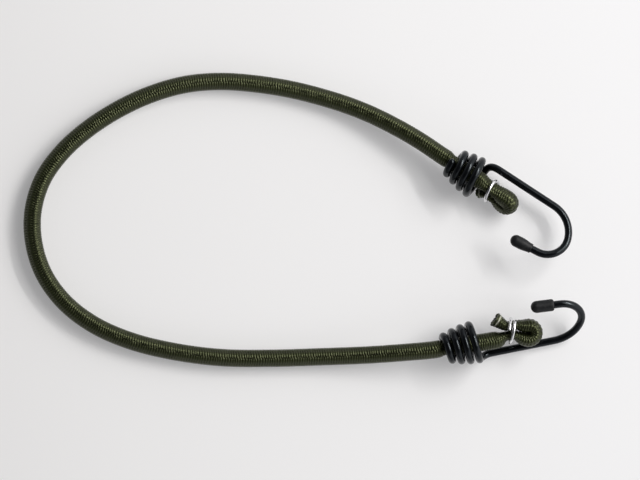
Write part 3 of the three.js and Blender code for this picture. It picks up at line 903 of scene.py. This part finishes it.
# Table, lamps and room light
tableForm = {
    "half": 3.0, "drop": 0.0002, "roughness": 0.9, "specular": 0.1, "fadeFrom": -0.2, "fadeTo": 1.8,
    "glowShare": 0.3, "glowTone": (0.84, 0.835, 0.845, 1),
    # tone along x: lower under the lamps to even out their fall-off, and a little darker towards the left
    # edge
    "tones": [
        (0.0, (0.85, 0.84, 0.835)), (0.06, (0.915, 0.91, 0.91)), (0.12, (0.925, 0.922, 0.928)),
        (0.175, (0.90, 0.90, 0.913)), (0.25, (0.78, 0.78, 0.792)), (0.325, (0.69, 0.69, 0.70)),
        (0.5, (0.57, 0.57, 0.58)), (0.75, (0.62, 0.62, 0.63)), (1.0, (0.80, 0.80, 0.81)),
    ],
}


def paleTable(look):
    # Matt card whose tone evens out the lamps' fall-off across it, and is a little darker towards its left
    # edge. For the camera and glossy pieces a share of it glows with a pale tone whatever falls on it:
    # painted light that keeps the shadows light.
    material, nodes, links, shader = newMaterial("pale_table", **{
        "Roughness": look["roughness"], "Specular IOR Level": look["specular"],
    })
    coordinates = nodes.new("ShaderNodeTexCoord")
    split = nodes.new("ShaderNodeSeparateXYZ")
    place = nodes.new("ShaderNodeMapRange")
    place.inputs["From Min"].default_value = look["fadeFrom"]
    place.inputs["From Max"].default_value = look["fadeTo"]
    links.new(coordinates.outputs["Object"], split.inputs["Vector"])
    links.new(split.outputs["X"], place.inputs["Value"])
    tone = addRamp(nodes, links, place.outputs["Result"], look["tones"])
    rays = nodes.new("ShaderNodeLightPath")
    seen, share = (nodes.new("ShaderNodeMath") for _ in range(2))
    seen.operation, share.operation = "MAXIMUM", "MULTIPLY"
    share.inputs[1].default_value = look["glowShare"]
    # painted light: a pale glow that lifts the table's shadows
    glow, mixed = nodes.new("ShaderNodeEmission"), nodes.new("ShaderNodeMixShader")
    glow.inputs["Color"].default_value = look["glowTone"]
    links.new(tone, shader.inputs["Base Color"])
    links.new(rays.outputs["Is Camera Ray"], seen.inputs[0])
    links.new(rays.outputs["Is Glossy Ray"], seen.inputs[1])
    links.new(seen.outputs["Value"], share.inputs[0])
    links.new(share.outputs["Value"], mixed.inputs["Fac"])
    links.new(shader.outputs["BSDF"], mixed.inputs[1])
    links.new(glow.outputs["Emission"], mixed.inputs[2])
    links.new(mixed.outputs["Shader"], nodes["Material Output"].inputs["Surface"])
    return material


def addTable(form=tableForm):
    half = form["half"]
    ways = ((-1, -1), (1, -1), (1, 1), (-1, 1))
    corners = [(x * half, y * half, -form["drop"]) for x, y in ways]
    mesh = bpy.data.meshes.new("table")
    mesh.from_pydata(corners, [], [(0, 1, 2, 3)])
    table = bpy.data.objects.new("table", mesh)
    mesh.materials.append(paleTable(form))
    scene.collection.objects.link(table)


lampForms = {
    "window_lamp": {
        "place": (1.05, 0.38, 1.05), "width": 1.4, "height": 0.9, "power": 14.8,
        "colour": (1.0, 0.985, 0.965),
    },
    "strip_lamp": {
        "place": (0.98, 0.47, 0.92), "width": 0.9, "height": 0.08, "power": 8.1,
        "colour": (1.0, 0.985, 0.965),
    },
}
roomForm = {
    "towards": (0.90, 0.10, 0.30), "strength": 1.35,
    "around": [
        (0.0, (0.10, 0.10, 0.103)), (0.5, (0.28, 0.28, 0.285)), (0.8, (0.80, 0.80, 0.81)), (1.0, grey(1.0)),
    ],
    "overhead": [(0.0, grey(1.0)), (0.52, grey(1.0)), (0.78, grey(0.06))],
}


def addLamp(name, form):
    data = bpy.data.lights.new(name, "AREA")
    data.shape, data.size, data.size_y = "RECTANGLE", form["width"], form["height"]
    data.energy, data.color = form["power"], form["colour"]
    lamp = bpy.data.objects.new(name, data)
    lamp.location = form["place"]
    lamp.rotation_euler = lamp.location.to_track_quat("Z", "Y").to_euler()  # faces the part's origin
    scene.collection.objects.link(lamp)


def addRoom(form=roomForm):
    # Room light: brightest around one direction, as beside a window, and dark straight overhead
    world = bpy.data.worlds.new("room")
    world.use_nodes = True
    scene.world = world
    nodes, links = world.node_tree.nodes, world.node_tree.links
    coordinates = nodes.new("ShaderNodeTexCoord")
    facing = nodes.new("ShaderNodeVectorMath")
    facing.operation = "DOT_PRODUCT"
    facing.inputs[1].default_value = unit(np.array(form["towards"]))
    share = nodes.new("ShaderNodeMapRange")
    share.inputs["From Min"].default_value = -1.0  # a cosine runs from -1 to 1
    split = nodes.new("ShaderNodeSeparateXYZ")
    links.new(coordinates.outputs["Generated"], facing.inputs[0])
    links.new(facing.outputs["Value"], share.inputs["Value"])
    links.new(coordinates.outputs["Generated"], split.inputs["Vector"])
    around = addRamp(nodes, links, share.outputs["Result"], form["around"])
    overhead = addRamp(nodes, links, split.outputs["Z"], form["overhead"])
    light = addBlend(nodes, links, "MULTIPLY", factor=1.0, first=around, second=overhead)
    links.new(light, nodes["Background"].inputs["Color"])
    nodes["Background"].inputs["Strength"].default_value = form["strength"]


addTable()
for name, form in lampForms.items():
    addLamp(name, form)
addRoom()
print("table and light set")
